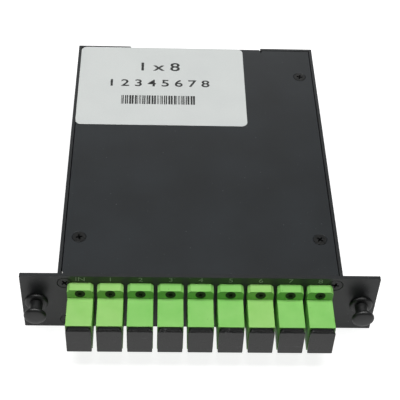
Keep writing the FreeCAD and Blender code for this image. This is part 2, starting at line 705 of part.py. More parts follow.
def output_route(port):
    """An output fibre: out of its boot, in towards the module and into its lane."""
    x, lane = PORT_X[port], lane_places()[port - 1]
    rank = abs(lane - MODULE_X) / LANE_PITCH + 0.5  # 1 for the middle pair, 4 for the outer one
    gap = MODULE_START - BOOT_END
    first = BOOT_END + TURN_SHARE * gap + STAGGER * rank
    last = MODULE_START - LANE_SHARE * gap + 2 * STAGGER * rank
    points = [
        Vector(x, BOOT_END - 2 * FIBRE_HIDDEN, AXIS_Z),
        Vector(x, first, AXIS_Z),
        Vector(lane, last, MODULE_Z),
        Vector(lane, MODULE_START + FIBRE_HIDDEN, MODULE_Z),
    ]
    if rank > 2.5:
        middle = (points[1] + points[2]) / 2 + INWARD * (STAGGER * rank / 3)
        points.insert(2, middle)
    return points


def input_route():
    """The input fibre: out of the module's rear, round the left side and to the first port."""
    x, left = PORT_X[0], -WALL_INNER
    start, end = MODULE_END, CASE_REAR - SHEET
    low, high = MODULE_Z, AXIS_Z
    return [
        Vector(MODULE_X, start - FIBRE_HIDDEN, low),
        Vector(MODULE_X, start + 4.0, low),
        Vector(MODULE_X - 4.9, end - 6.5, low + 0.2),
        Vector(MODULE_X - 13.9, end - 4.4, low + 0.6),
        Vector(MODULE_X - 25.4, end - 4.1, low + 1.0),
        Vector(left + 19.2, end - 7.7, low + 1.4),
        Vector(left + 10.9, end - 15.7, low + 1.8),
        Vector(left + 6.0, end - 27.2, low + 2.2),
        Vector(left + 4.2, end - 44.7, low + 2.8),
        Vector(left + 4.0, end - 65.7, low + 4.8),
        Vector(x - 0.9, BOOT_END + 17.2, high - 2.0),
        Vector(x, BOOT_END + 6.2, high),
        Vector(x, BOOT_END - 2 * FIBRE_HIDDEN, high),
    ]


def fibre(name, points):
    """A round tube along straight runs joined by tangent arcs."""
    edges, start, radii = [], points[0], []
    for before, corner, after in zip(points, points[1:], points[2:]):
        back, ahead = before - corner, after - corner
        reach = ARC_SHARE * min(back.Length, ahead.Length)
        half_turn = (math.pi - back.getAngle(ahead)) / 2
        radius = reach / math.tan(half_turn)
        back.normalize()
        ahead.normalize()
        enter, leave = corner + back * reach, corner + ahead * reach
        inside = (back + ahead).normalize()
        middle = corner + inside * (radius / math.cos(half_turn) - radius)
        edges.append(Part.LineSegment(start, enter).toShape())
        edges.append(Part.Arc(enter, middle, leave).toShape())
        start = leave
        radii.append(radius)
    edges.append(Part.LineSegment(start, points[-1]).toShape())
    path = Part.Wire(edges)
    circle = Part.Circle(points[0], points[1] - points[0], FIBRE_RADIUS).toShape()
    tube = path.makePipeShell([Part.Wire(circle)], True, False)
    true_volume = math.pi * FIBRE_RADIUS**2 * path.Length
    print(
        f"{name}: length {path.Length:.1f}, volume over true volume "
        f"{tube.Volume / true_volume:.4f}, radii", [round(r, 1) for r in radii]
    )
    return tube


# ---- Everything ------------------------------------------------------------------------------
def all_parts():
    """Every piece by its name."""
    parts = {
        "base_tray": base_tray(),
        "lid": lid(),
        "lid_brackets": lid_brackets(),
        "front_plate": front_plate(),
        "label": label(),
        "lid_screws": lid_screws(),
        "plate_screws": plate_screws(),
        "adapter_screws": adapter_screws(),
        "adapter_nuts": adapter_nuts(),
        "alignment_sleeves": alignment_sleeves(),
        "connector_boots": connector_boots(),
        "ferrules": ferrules(),
        "module_tube": module_tube(),
        "module_end_plugs": module_end_plugs(),
        "splitter_chip": splitter_chip(),
        "mounting_tape": mounting_tape(),
    }
    for side, x in zip(("left", "right"), latch_places()):
        parts[f"grommet_{side}"] = grommet(x)
        parts[f"plunger_{side}"] = plunger(x)
    for port, (name, x) in enumerate(zip(PORT_NAMES, PORT_X)):
        parts[f"adapter_{name}"] = adapter(x)
        parts[f"dust_cap_{name}"] = dust_cap(x)
        parts[f"connector_{name}"] = connector(x)
        route = output_route(port) if port else input_route()
        parts[f"fibre_{name}"] = fibre(f"fibre_{name}", route)
    return parts


os.makedirs("parts", exist_ok=True)
for node, shape in all_parts().items():
    if not shape.isValid():
        raise ValueError(f"{node} isn't a valid shape")
    shape.exportStep(f"parts/{node}.step")
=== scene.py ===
import math

import bmesh
import bpy
from mathutils import Matrix, Vector


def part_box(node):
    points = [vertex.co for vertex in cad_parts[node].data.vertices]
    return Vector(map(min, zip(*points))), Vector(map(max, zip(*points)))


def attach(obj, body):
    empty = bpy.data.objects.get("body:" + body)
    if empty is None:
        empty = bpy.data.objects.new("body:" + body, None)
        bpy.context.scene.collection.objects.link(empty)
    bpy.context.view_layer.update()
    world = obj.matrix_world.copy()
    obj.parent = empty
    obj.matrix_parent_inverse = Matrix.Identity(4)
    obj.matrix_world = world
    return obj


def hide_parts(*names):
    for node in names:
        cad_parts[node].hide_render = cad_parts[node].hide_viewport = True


# A plug-in fibre splitter cassette: a folded black case, nine green ports under dust caps, and a
# push-pull latch at each end of the plate. Metres, +Z up, ports towards -Y. Turned pieces and
# screws are modelled in millimetres and then brought to their place and size.
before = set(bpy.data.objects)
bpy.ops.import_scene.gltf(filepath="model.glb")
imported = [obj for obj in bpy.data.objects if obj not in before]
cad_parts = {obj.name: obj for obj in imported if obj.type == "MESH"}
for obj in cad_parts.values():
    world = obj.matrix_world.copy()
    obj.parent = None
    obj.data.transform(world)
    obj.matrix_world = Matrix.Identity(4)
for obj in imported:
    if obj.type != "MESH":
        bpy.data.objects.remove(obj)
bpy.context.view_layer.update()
MM = 0.001
QUARTER_TURN = math.radians(90)
PORTS = ["in", "1", "2", "3", "4", "5", "6", "7", "8"]
WARM_PORTS = ("in", "1", "6")  # their adapters are a little yellower
HOUSING = "housing"

# ---- Places read from the frame --------------------------------------------------------------
PLATE_LOW, PLATE_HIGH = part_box("front_plate")
PLATE_MIDDLE = (PLATE_LOW + PLATE_HIGH) / 2
LID_LOW, LID_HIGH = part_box("lid")
PORT_X = {name: sum(corner.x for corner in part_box(f"adapter_{name}")) / 2 for name in PORTS}
LATCH_X = {
    side: sum(corner.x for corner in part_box(f"grommet_{side}")) / 2 for side in ("left", "right")
}

# ---- Edges and tolerances --------------------------------------------------------------------
SHEET_EDGE = 0.08 * MM  # rounding that the paint gives a sheared edge
MOULD_EDGE = 0.1 * MM  # rounding of an adapter's edges
CAP_EDGE = 0.06 * MM
SMOOTH_ANGLE = math.radians(35)  # a sharper edge keeps its crease in the shading
WELD = 0.002 * MM  # corners closer than this are one
TURNED_WELD = 0.001  # the same for a turned piece, in millimetres
FACING = 0.9  # least part of a normal along an axis for a face to look that way
NEAR = 0.05 * MM

# ---- Case and label --------------------------------------------------------------------------
SHEET = 1.2 * MM
SLIT = 0.3 * MM  # between the case's rear wall and its side walls
SLIT_OPEN = 0.02 * MM  # what the paint leaves open of it
REAR_WALL = 3 * MM  # the band at the case's rear that holds the wall
COUNTERSINK = ((2.97, -0.1), (1.27, 1.6))  # radius and depth in millimetres, through the plate
LABEL_CORNER = 2.5 * MM
LABEL_EDGE = 0.03 * MM

# ---- Prints ----------------------------------------------------------------------------------
INK = 0.015 * MM  # thickness of a print
CAPITAL = 0.72  # a capital's height as a share of the font's size
MARK_HEIGHT = 2.1 * MM
MARK_ROW = 12.9 * MM  # above the plate's middle
MARK_WEIGHT = -0.02 * MM  # added around each stroke
MARK_STRETCH = 1.3
PRINT_MIDDLE = 0.48  # of the label's width
PRINT_WEIGHT = 0.1 * MM
PRINT_STRETCH = 1.2
# The label's lines: words, row as a share of the label's depth, and height.
PRINT_LINES = (("1 x 8", 0.735, 5.4 * MM), ("1 2 3 4 5 6 7 8", 0.52, 4.4 * MM))
BAR_ROW = 0.31  # of the label's depth
BAR_COUNT = 34
BAR_UNIT = 0.26 * MM  # width of the thinnest bar and gap
BAR_HEIGHT = 5.5 * MM
BARS_LEFT = 15.6 * MM  # from the first bar to the print's middle

# ---- Screws, in millimetres ------------------------------------------------------------------
# A seat is the head's radius in the frame, from which the screws' places are worked out. Wear is
# taken off the head's rim, so that a dark ring shows around it. A brim is the radius of a thin edge
# that lies on the face around the head.
SCREWS = {
    "adapter_screws": {
        "name": "m2", "paint": "small_screw", "seat": 1.65, "head": 1.65, "thread": 1.0,
        "length": 7.0, "cross": 2.5, "arm": 0.7, "wear": 0.0, "brim": 1.88,
    },
    "plate_screws": {
        "name": "m25", "paint": "screw", "seat": 2.35, "head": 2.72, "thread": 1.25,
        "length": 4.0, "cross": 3.9, "arm": 1.0, "wear": 0.1, "brim": 0.0,
    },
    "lid_screws": {
        "name": "m3", "paint": "screw", "seat": 2.65, "head": 2.65, "thread": 1.5,
        "length": 5.0, "cross": 3.7, "arm": 0.95, "wear": 0.17, "brim": 0.0,
    },
}
SCREW_SIDES = 48
BRIM_HEIGHT = 0.08
BRIM_EDGE = 0.05
HEAD_EDGE = 0.08
CROSS_DEPTH = 0.55  # of the cross's width
CROSS_TAPER = 0.35  # what is left of the cross's width at its bottom
SUNK = 0.06  # a plain head's depth below the face around it
RAISED = 0.005  # a brimmed head's height above it
RECESS_TURN = 12  # degrees, of the first screw's cross
RECESS_ACROSS = 40  # degrees more in each further column
RECESS_UP = 25  # degrees more in each further row

# ---- Caps and latches ------------------------------------------------------------------------
MOULD_LINE = 0.06 * MM  # radius of a cap's parting line
MOULD_LINE_DEPTH = 0.025 * MM  # of its middle behind the cap's face
MOULD_LINE_ENDS = 0.8 * MM  # what the cap's face has above and below it, together
LEG_SLIT = (8.0, 8.0, 1.0)  # millimetres, through the barrel's whole width and past its rear
LEG_SLIT_MIDDLE = (0, 6.1, 0)


# ---- Small helpers ---------------------------------------------------------------------------
def deselect():
    bpy.ops.object.select_all(action="DESELECT")


def only(piece):
    """Makes a piece the one that is selected and active."""
    deselect()
    piece.select_set(True)
    bpy.context.view_layer.objects.active = piece


def added(name, operator, **settings):
    """Runs an operator that adds an object, and names what it made."""
    deselect()
    operator(**settings)
    piece = bpy.context.object
    piece.name = name
    piece.data.name = name
    return piece


def settle(piece):
    """Moves a piece's place into its mesh, so that its object sits at the origin."""
    only(piece)
    bpy.ops.object.transform_apply(location=True, rotation=True, scale=True)
    return piece


def edit(piece, mode="FACE"):
    only(piece)
    bpy.ops.object.mode_set(mode="EDIT")
    bpy.ops.mesh.select_mode(type=mode)


def leave_edit():
    bpy.ops.object.mode_set(mode="OBJECT")


def pick(piece, kind, test):
    """Selects the faces or edges of a piece in edit mode for which test holds."""
    bpy.ops.mesh.select_all(action="DESELECT")
    mesh = bmesh.from_edit_mesh(piece.data)
    for part in getattr(mesh, kind):
        part.select_set(test(part))
    mesh.select_flush_mode()
    bmesh.update_edit_mesh(piece.data)


def looks_up(face):
    return face.normal.z > FACING


def looks_down(face):
    return face.normal.z < -FACING


def finished(piece, paint, body=HOUSING, node=None):
    """Shades a piece, paints it and lets it ride on a body, in place of a CAD node if named."""
    only(piece)
    bpy.ops.object.shade_smooth_by_angle(angle=SMOOTH_ANGLE)
    flat = piece.modifiers.new("Flat", "WEIGHTED_NORMAL")
    flat.keep_sharp = True
    bpy.ops.object.modifier_apply(modifier=flat.name)
    piece.data.materials.clear()
    piece.data.materials.append(paint)
    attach(piece, body)
    if node:
        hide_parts(node)
    return piece


def bevelled(piece, width, segments=2, angle=30.0):
    """Rounds a piece's sharp edges with an applied modifier."""
    only(piece)
    bevel = piece.modifiers.new("Bevel", "BEVEL")
    bevel.width = width
    bevel.segments = segments
    bevel.limit_method = "ANGLE"
    bevel.angle_limit = math.radians(angle)
    bpy.ops.object.modifier_apply(modifier=bevel.name)
    return piece


def merged_copy(node, name):
    """A copy of a CAD node's triangles, merged into clean flat faces."""
    piece = bpy.data.objects.new(name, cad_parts[node].data.copy())
    bpy.context.scene.collection.objects.link(piece)
    edit(piece)
    bpy.ops.mesh.select_all(action="SELECT")
    bpy.ops.mesh.remove_doubles(threshold=WELD)
    bpy.ops.mesh.dissolve_limited(angle_limit=math.radians(1.0))
    leave_edit()
    return piece


def twin(piece, name):
    """A copy of a piece with its own mesh."""
    copy = bpy.data.objects.new(name, piece.data.copy())
    bpy.context.scene.collection.objects.link(copy)
    return copy


def carve(piece, cutter):
    """Takes a cutter out of a piece."""
    only(piece)
    cut = piece.modifiers.new("Cut", "BOOLEAN")
    cut.operation = "DIFFERENCE"
    cut.solver = "EXACT"
    cut.object = cutter
    bpy.ops.object.modifier_apply(modifier=cut.name)
    bpy.data.objects.remove(cutter)
    return piece


def turned(name, rings, tube=False, sides=64):
    """A round piece along Y in millimetres: rings lists (radius, distance) from front to rear.
    A tube's last ring lies on its first one."""
    first_radius, first_place = rings[0]
    piece = added(
        name,
        bpy.ops.mesh.primitive_circle_add,
        vertices=sides,
        radius=first_radius,
        fill_type="NOTHING" if tube else "TRIFAN",
        location=(0, first_place, 0),
        rotation=(QUARTER_TURN, 0, 0),
    )
    settle(piece)
    edit(piece, "VERT")
    bpy.ops.mesh.select_all(action="SELECT")
    radius, place = first_radius, first_place
    for next_radius, next_place in rings[1:]:
        move = {"value": (0, next_place - place, 0)}
        bpy.ops.mesh.extrude_region_move(TRANSFORM_OT_translate=move)
        share = next_radius / radius
        centre = (0, next_place, 0)
        bpy.ops.transform.resize(value=(share, 1, share), center_override=centre)
        radius, place = next_radius, next_place
    bpy.ops.mesh.select_all(action="SELECT")
    bpy.ops.mesh.remove_doubles(threshold=TURNED_WELD)
    bpy.ops.mesh.normals_make_consistent(inside=False)
    leave_edit()
    return piece


def placed(piece, at, turn=None):
    """Brings a piece modelled in millimetres to its place and size."""
    move = Matrix.Translation(at) @ Matrix.Scale(MM, 4)
    piece.data.transform(move @ turn if turn else move)
    return piece


# ---- Materials -------------------------------------------------------------------------------
# Patterns have real sizes, but the grain of moulded, blackened and paper surfaces is finer than it
# could show, and is drawn at 0.2 to 0.5 mm.
NOISE = "ShaderNodeTexNoise"  # its scale is one over the size of its blotches in metres
RAMP = "ShaderNodeValToRGB"
MIX = "ShaderNodeMix"
SPAN = "ShaderNodeMapRange"
BUMP = "ShaderNodeBump"
MATHS = "ShaderNodeMath"
VECTOR = "ShaderNodeVectorMath"
MAPPING = "ShaderNodeMapping"


def colour(code):
    """An sRGB hex code as linear RGBA."""
    parts = [int(code[i : i + 2], 16) / 255 for i in (1, 3, 5)]
    linear = [p / 12.92 if p <= 0.04045 else ((p + 0.055) / 1.055) ** 2.4 for p in parts]
    return (*linear, 1.0)


def add(tree, kind, sockets=None, output=0, stops=(), **settings):
    """Adds a shader node with its settings, input values and links, and gives one of its outputs.
    Stops are the places and colours of a colour ramp."""
    made = tree.nodes.new(kind)
    for name, value in settings.items():
        setattr(made, name, value)
    for key, value in (sockets or {}).items():
        if isinstance(value, bpy.types.NodeSocket):
            tree.links.new(value, made.inputs[key])
        else:
            made.inputs[key].default_value = value
    for i, (position, code) in enumerate(stops):
        made.color_ramp.elements[i].position = position
        made.color_ramp.elements[i].color = colour(code)
    return made.outputs[output]


def material(name, **values):
    """A new material: its node tree, its shader and its Object coordinates."""
    made = bpy.data.materials.new(name)
    made.use_nodes = True
    tree = made.node_tree
    shader = tree.nodes["Principled BSDF"]
    for key, value in values.items():
        shader.inputs[key.replace("_", " ")].default_value = value
    place = add(tree, "ShaderNodeTexCoord", output="Object")
    return made, tree, shader, place


def connect(tree, shader, **outputs):
    """Links outputs to the shader's inputs that they are named for."""
    for key, output in outputs.items():
        tree.links.new(output, shader.inputs[key.replace("_", " ")])


def powder_coat(name, dark, light, chip_and_glint=None):
    """Polyester powder coat, sprayed and baked: semi-matt black with a fine leathery grain.
    Where the coat is chipped, bare steel shows at one point, with its glint painted in as a
    near-white colour."""
    made, tree, shader, place = material(name, IOR=1.5)
    cloudy = add(tree, NOISE, {"Vector": place, "Scale": 1 / (22 * MM), "Detail": 3.0})
    grain = add(tree, NOISE, {"Vector": place, "Scale": 1 / (0.45 * MM), "Detail": 2.0})
    specks = add(tree, NOISE, {"Vector": place, "Scale": 1 / (0.8 * MM), "Detail": 0.0})
    base = add(tree, RAMP, {"Fac": cloudy}, stops=((0.3, dark), (0.7, light)))
    dust = add(tree, RAMP, {"Fac": specks}, stops=((0.84, "#000000"), (0.88, "#FFFFFF")))
    tones = {"Factor": dust, 6: base, 7: colour("#54585A")}
    base = add(tree, MIX, tones, output=2, data_type="RGBA")
    if chip_and_glint is not None:  # a narrow spot of about 0.6 mm with a ragged edge
        offset = add(tree, VECTOR, {0: place, 1: chip_and_glint}, operation="SUBTRACT")
        narrow = add(tree, VECTOR, {0: offset, 1: (2.2, 1.0, 1.0)}, operation="MULTIPLY")
        far = add(tree, VECTOR, {0: narrow}, output="Value", operation="LENGTH")
        ragged = add(tree, SPAN, {"Value": grain, "To Min": -0.2 * MM, "To Max": 0.2 * MM})
        edge = add(tree, MATHS, {0: far, 1: ragged}, operation="ADD")
        rim = {"Value": edge, "From Min": 0.55 * MM, "From Max": 0.65 * MM, "To Min": 1, "To Max": 0}
        # Painted highlight: the bare steel where the coat is chipped is painted near-white, glint
        # and all.
        tones = {"Factor": add(tree, SPAN, rim), 6: base, 7: colour("#D0D0CC")}
        base = add(tree, MIX, tones, output=2, data_type="RGBA")
    sheen = {"Value": grain, "From Min": 0.3, "From Max": 0.7, "To Min": 0.28, "To Max": 0.40}
    rough = add(tree, SPAN, sheen)
    normal = add(tree, BUMP, {"Height": grain, "Distance": 0.03 * MM, "Strength": 0.5})
    connect(tree, shader, Base_Color=base, Roughness=rough, Normal=normal)
    return made


def moulded_green(name, dark, light):
    """Glass-filled PBT, injection moulded: satin light green with faint flow marks and spark-eroded
    grain."""
    made, tree, shader, place = material(
        name, IOR=1.5, Subsurface_Weight=0.06, Specular_IOR_Level=0.38
    )
    shader.inputs["Subsurface Radius"].default_value = (0.6, 1.0, 0.3)
    shader.inputs["Subsurface Scale"].default_value = 0.6 * MM
    flow = add(tree, NOISE, {"Vector": place, "Scale": 1 / (7 * MM), "Detail": 3.0})
    grain = add(tree, NOISE, {"Vector": place, "Scale": 1 / (0.25 * MM), "Detail": 1.0})
    specks = add(tree, NOISE, {"Vector": place, "Scale": 1 / (0.7 * MM), "Detail": 0.0})
    base = add(tree, RAMP, {"Fac": flow}, stops=((0.3, dark), (0.72, light)))
    dark_specks = add(tree, RAMP, {"Fac": specks}, stops=((0.86, "#000000"), (0.89, "#FFFFFF")))
    tones = {"Factor": dark_specks, 6: base, 7: colour("#4F9A35")}
    base = add(tree, MIX, tones, output=2, data_type="RGBA")
    sheen = {"Value": grain, "From Min": 0.3, "From Max": 0.7, "To Min": 0.36, "To Max": 0.5}
    rough = add(tree, SPAN, sheen)
    normal = add(tree, BUMP, {"Height": grain, "Distance": 0.012 * MM, "Strength": 0.5})
    connect(tree, shader, Base_Color=base, Roughness=rough, Normal=normal)
    return made


def cap_plastic(name):
    """Soft black polyethylene, injection moulded: matt, with pale rubbed scuffs."""
    made, tree, shader, place = material(name, IOR=1.54)
    cloudy = add(tree, NOISE, {"Vector": place, "Scale": 1 / (5 * MM), "Detail": 3.0})
    tint = add(tree, RAMP, {"Fac": cloudy}, stops=((0.3, "#131414"), (0.7, "#1A1B1B")))
    flattened = add(tree, MAPPING, {"Vector": place, "Scale": (1.0, 1.0, 3.2)})
    patch = add(tree, NOISE, {"Vector": flattened, "Scale": 1 / (5.5 * MM), "Detail": 2.0})
    streak = add(
        tree, NOISE, {"Vector": flattened, "Scale": 1 / (0.7 * MM), "Detail": 3.0, "Roughness": 0.7}
    )
    patches = add(tree, SPAN, {"Value": patch, "From Min": 0.60, "From Max": 0.72})
    streaks = add(
        tree, SPAN, {"Value": streak, "From Min": 0.52, "From Max": 0.68, "To Max": 0.75}
    )
    scuffs = add(tree, MATHS, {0: patches, 1: streaks}, operation="MULTIPLY")
    tones = {"Factor": scuffs, 6: tint, 7: colour("#77797A")}
    base = add(tree, MIX, tones, output=2, data_type="RGBA")
    grain = add(tree, NOISE, {"Vector": place, "Scale": 1 / (0.2 * MM), "Detail": 2.0})
    sheen = {"Value": grain, "From Min": 0.3, "From Max": 0.7, "To Min": 0.20, "To Max": 0.30}
    rough = add(tree, SPAN, sheen)
    normal = add(tree, BUMP, {"Height": grain, "Distance": 0.012 * MM, "Strength": 0.5})
    connect(tree, shader, Base_Color=base, Roughness=rough, Normal=normal)
    return made


def latch_nylon(name):
    """Black nylon 6/6, injection moulded: smooth and a little glossy, with dull handled patches."""
    made, tree, shader, place = material(name, IOR=1.56)
    wear = add(tree, NOISE, {"Vector": place, "Scale": 1 / (2.2 * MM), "Detail": 3.0})
    grain = add(tree, NOISE, {"Vector": place, "Scale": 1 / (0.3 * MM), "Detail": 2.0})
    base = add(tree, RAMP, {"Fac": wear}, stops=((0.3, "#0D0E0E"), (0.7, "#161717")))
    sheen = {"Value": wear, "From Min": 0.35, "From Max": 0.7, "To Min": 0.38, "To Max": 0.50}
    rough = add(tree, SPAN, sheen)
    normal = add(tree, BUMP, {"Height": grain, "Distance": 0.01 * MM, "Strength": 0.4})
    connect(tree, shader, Base_Color=base, Roughness=rough, Normal=normal)
    return made


def blackened_steel(name, dark, light, **values):
    """Steel screws, cold headed, with a black oxide or black zinc skin that is a little worn."""
    made, tree, shader, place = material(name, IOR=1.5, **values)
    wear = add(tree, NOISE, {"Vector": place, "Scale": 1 / (0.8 * MM), "Detail": 3.0})
    grain = add(tree, NOISE, {"Vector": place, "Scale": 1 / (0.25 * MM), "Detail": 2.0})
    base = add(tree, RAMP, {"Fac": wear}, stops=((0.3, dark), (0.75, light)))
    sheen = {"Value": wear, "From Min": 0.3, "From Max": 0.7, "To Min": 0.26, "To Max": 0.42}
    rough = add(tree, SPAN, sheen)
    normal = add(tree, BUMP, {"Height": grain, "Distance": 0.01 * MM, "Strength": 0.5})
    connect(tree, shader, Base_Color=base, Roughness=rough, Normal=normal)
    return made


def label_film(name):
    """Coated paper label, die cut: smooth cool white with a faint fibre and a slight sheen."""
    made, tree, shader, place = material(name, IOR=1.45)
    fibre = add(
        tree, NOISE, {"Vector": place, "Scale": 1 / (0.5 * MM), "Detail": 4.0, "Roughness": 0.6}
    )
    cloud = add(tree, NOISE, {"Vector": place, "Scale": 1 / (18 * MM), "Detail": 2.0})
    fibres = add(tree, SPAN, {"Value": fibre, "From Min": 0.35, "From Max": 0.65, "To Max": 0.5})
    clouds = add(tree, SPAN, {"Value": cloud, "From Min": 0.35, "From Max": 0.7, "To Max": 0.35})
    tones = {"Factor": fibres, 6: colour("#D6DAD8"), 7: colour("#DEE1DF")}
    base = add(tree, MIX, tones, output=2, data_type="RGBA")
    tones = {"Factor": clouds, 6: base, 7: colour("#CDD1D0")}
    base = add(tree, MIX, tones, output=2, data_type="RGBA")
    sheen = {"Value": fibre, "From Min": 0.3, "From Max": 0.7, "To Min": 0.34, "To Max": 0.44}
    rough = add(tree, SPAN, sheen)
    normal = add(tree, BUMP, {"Height": fibre, "Distance": 0.01 * MM, "Strength": 0.3})
    connect(tree, shader, Base_Color=base, Roughness=rough, Normal=normal)
    return made


def ink(name, code):
    """Screen-printed ink: a flat matt film, a little uneven."""
    made, tree, shader, place = material(name, IOR=1.45)
    uneven = add(tree, NOISE, {"Vector": place, "Scale": 1 / (0.35 * MM), "Detail": 3.0})
    thin = add(tree, SPAN, {"Value": uneven, "From Min": 0.4, "From Max": 0.75, "To Max": 0.35})
    tones = {"Factor": thin, 6: colour(code), 7: colour("#6E7170")}
    base = add(tree, MIX, tones, output=2, data_type="RGBA")
    sheen = {"Value": uneven, "From Min": 0.3, "From Max": 0.7, "To Min": 0.5, "To Max": 0.65}
    connect(tree, shader, Base_Color=base, Roughness=add(tree, SPAN, sheen))
    return made


def plated_steel(name, dark, light, rough):
    """Zinc-plated or drawn steel: bright grey metal with fine rolling lines along Y."""
    made, tree, shader, place = material(name, Metallic=1.0)
    along = add(tree, MAPPING, {"Vector": place, "Scale": (1.0, 0.04, 1.0)})
    lines = add(tree, NOISE, {"Vector": along, "Scale": 1 / (0.3 * MM), "Detail": 3.0})
    base = add(tree, RAMP, {"Fac": lines}, stops=((0.3, dark), (0.7, light)))
    sheen = {"Value": lines, "From Min": 0.3, "From Max": 0.7}
    sheen |= {"To Min": rough - 0.08, "To Max": rough + 0.08}
    normal = add(tree, BUMP, {"Height": lines, "Distance": 0.01 * MM, "Strength": 0.3})
    connect(tree, shader, Base_Color=base, Roughness=add(tree, SPAN, sheen), Normal=normal)
    return made


def soft_moulding(name, dark, light, size, rough):
    """Moulded rubber, foam or a fibre's jacket: matt, with a grain of the given size."""
    made, tree, shader, place = material(name, IOR=1.5)
    grain = add(tree, NOISE, {"Vector": place, "Scale": 1 / size, "Detail": 3.0})
    base = add(tree, RAMP, {"Fac": grain}, stops=((0.3, dark), (0.7, light)))
    sheen = {"Value": grain, "From Min": 0.3, "From Max": 0.7}
    sheen |= {"To Min": rough - 0.07, "To Max": rough + 0.07}
    normal = add(tree, BUMP, {"Height": grain, "Distance": 0.05 * size, "Strength": 0.5})
    connect(tree, shader, Base_Color=base, Roughness=add(tree, SPAN, sheen), Normal=normal)
    return made


def silica(name):
    """Polished silica glass, diced and lapped: clear with finely ground sides."""
    made, tree, shader, place = material(name, IOR=1.46, Transmission_Weight=0.85)
    ground = add(tree, NOISE, {"Vector": place, "Scale": 1 / (0.2 * MM), "Detail": 2.0})
    base = add(tree, RAMP, {"Fac": ground}, stops=((0.3, "#E4ECEC"), (0.7, "#F2F6F6")))
    sheen = {"Value": ground, "From Min": 0.3, "From Max": 0.7, "To Min": 0.08, "To Max": 0.25}
    connect(tree, shader, Base_Color=base, Roughness=add(tree, SPAN, sheen))
    return made


# ---- Camera, lights and floor ----------------------------------------------------------------
LENS = 97.03  # focal length in millimetres
CAMERA_SPOT = Vector((-15.52, -248.76, 312.06)) * MM  # from the plate's rear face, mid height
LOOK_DOWN = math.radians(46.11)
LOOK_ASIDE = math.radians(3.165)
TILT = math.radians(3.005)


def set_camera():
    """A long-lens camera above the ports, a little to the left."""
    forward = Vector(
        (
            math.sin(LOOK_ASIDE) * math.cos(LOOK_DOWN),
            math.cos(LOOK_ASIDE) * math.cos(LOOK_DOWN),
            -math.sin(LOOK_DOWN),
        )
    )
    level = Vector((math.cos(LOOK_ASIDE), -math.sin(LOOK_ASIDE), 0))
    upright = level.cross(forward)
    right = math.cos(TILT) * level + math.sin(TILT) * upright
    up = math.cos(TILT) * upright - math.sin(TILT) * level
    deselect()
    bpy.ops.object.camera_add()
    camera = bpy.context.object
    camera.data.lens = LENS
    camera.data.clip_start = 0.01
    spot = Vector((0, PLATE_HIGH.y, PLATE_MIDDLE.z)) + CAMERA_SPOT
    turn = Matrix((right, up, -forward)).transposed().to_4x4()
    camera.matrix_world = Matrix.Translation(spot) @ turn
    bpy.context.scene.camera = camera


def area_light(name, place, wide, deep, power):
    """A soft oblong lamp aimed at the middle of the part."""
    deselect()
    bpy.ops.object.light_add(type="AREA", location=place)
    lamp = bpy.context.object
    lamp.name = name
    lamp.data.shape = "RECTANGLE"
    lamp.data.size = wide
    lamp.data.size_y = deep
    lamp.data.energy = power
    aim = (PLATE_MIDDLE - Vector(place)).to_track_quat("-Z", "Y")
    lamp.rotation_euler = aim.to_euler()


def mirrored_rays(tree):
    """1 where a mirror or glass shows the surround, else 0."""
    glossy = add(tree, "ShaderNodeLightPath", output="Is Glossy Ray")
    through = add(tree, "ShaderNodeLightPath", output="Is Transmission Ray")
    return add(tree, MATHS, {0: glossy, 1: through}, operation="MAXIMUM")


def set_light():
    """A wide soft lamp overhead, weak ones behind and in front, and a dim surround seen as white."""
    area_light("overhead_lamp", (0.0, 0.0, 1.1), wide=1.3, deep=0.45, power=12.9)
    area_light("rear_lamp", (0.0, 1.5, 0.7), wide=0.9, deep=0.9, power=2.2)
    area_light("front_lamp", (-0.35, -0.9, 0.7), wide=0.7, deep=0.7, power=0.04)
    world = bpy.data.worlds.new("studio")
    bpy.context.scene.world = world
    world.use_nodes = True
    tree = world.node_tree
    dim = add(tree, SPAN, {"Value": mirrored_rays(tree), "To Min": 0.03, "To Max": 0.12})
    seen = add(tree, "ShaderNodeLightPath", output="Is Camera Ray")
    strength = add(tree, MATHS, {0: dim, 1: seen}, operation="MAXIMUM")
    tree.links.new(strength, tree.nodes["Background"].inputs["Strength"])
    tree.nodes["Background"].inputs["Color"].default_value = (1, 1, 1, 1)


def set_floor():
    """A pale floor that keeps a faint shadow and meets a white surround."""
    floor = added("floor", bpy.ops.mesh.primitive_plane_add, size=12.0)
    made, tree, shader, _ = material("painted_studio_floor", Roughness=0.9)
    shader.inputs["Base Color"].default_value = colour("#A8A8A8")
    shader.inputs["Specular IOR Level"].default_value = 0.0
    mirrored = add(tree, SPAN, {"Value": mirrored_rays(tree), "To Max": 0.53})
    camera_ray = add(tree, "ShaderNodeLightPath", output="Is Camera Ray")
    seen = add(tree, SPAN, {"Value": camera_ray, "To Max": 0.88})
    strength = add(tree, MATHS, {0: mirrored, 1: seen}, operation="MAXIMUM")
    glow = add(tree, "ShaderNodeEmission", {"Color": (1, 1, 1, 1), "Strength": strength})
    both = add(tree, "ShaderNodeAddShader", {0: shader.outputs[0], 1: glow})
    tree.links.new(both, tree.nodes["Material Output"].inputs["Surface"])
    floor.data.materials.append(made)


# ---- Case ------------------------------------------------------------------------------------
def make_case(paints):
    """The folded sheets and the plate, their cut edges rounded by the paint."""
    for node, paint in (("base_tray", "case"), ("lid", "lid"), ("front_plate", "plate")):
        piece = merged_copy(node, f"painted_{node}")
        if node == "base_tray":
            fill_slits(piece)
        if node == "front_plate":
            widen_countersinks(piece)
        bevelled(piece, SHEET_EDGE)
        finished(piece, paints[paint], node=node)


def widen_countersinks(plate):
    """Opens the plate around its screws, where a dark ring shows beside each head."""
    low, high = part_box("plate_screws")
    edge = SCREWS["plate_screws"]["seat"] * MM
    cone = turned("countersink", COUNTERSINK, sides=SCREW_SIDES)
    for x in (low.x + edge, high.x - edge):
        for z in (low.z + edge, high.z - edge):
            cutter = twin(cone, "countersink_cutter")
            carve(plate, placed(cutter, Vector((x, PLATE_LOW.y, z))))
    bpy.data.objects.remove(cone)


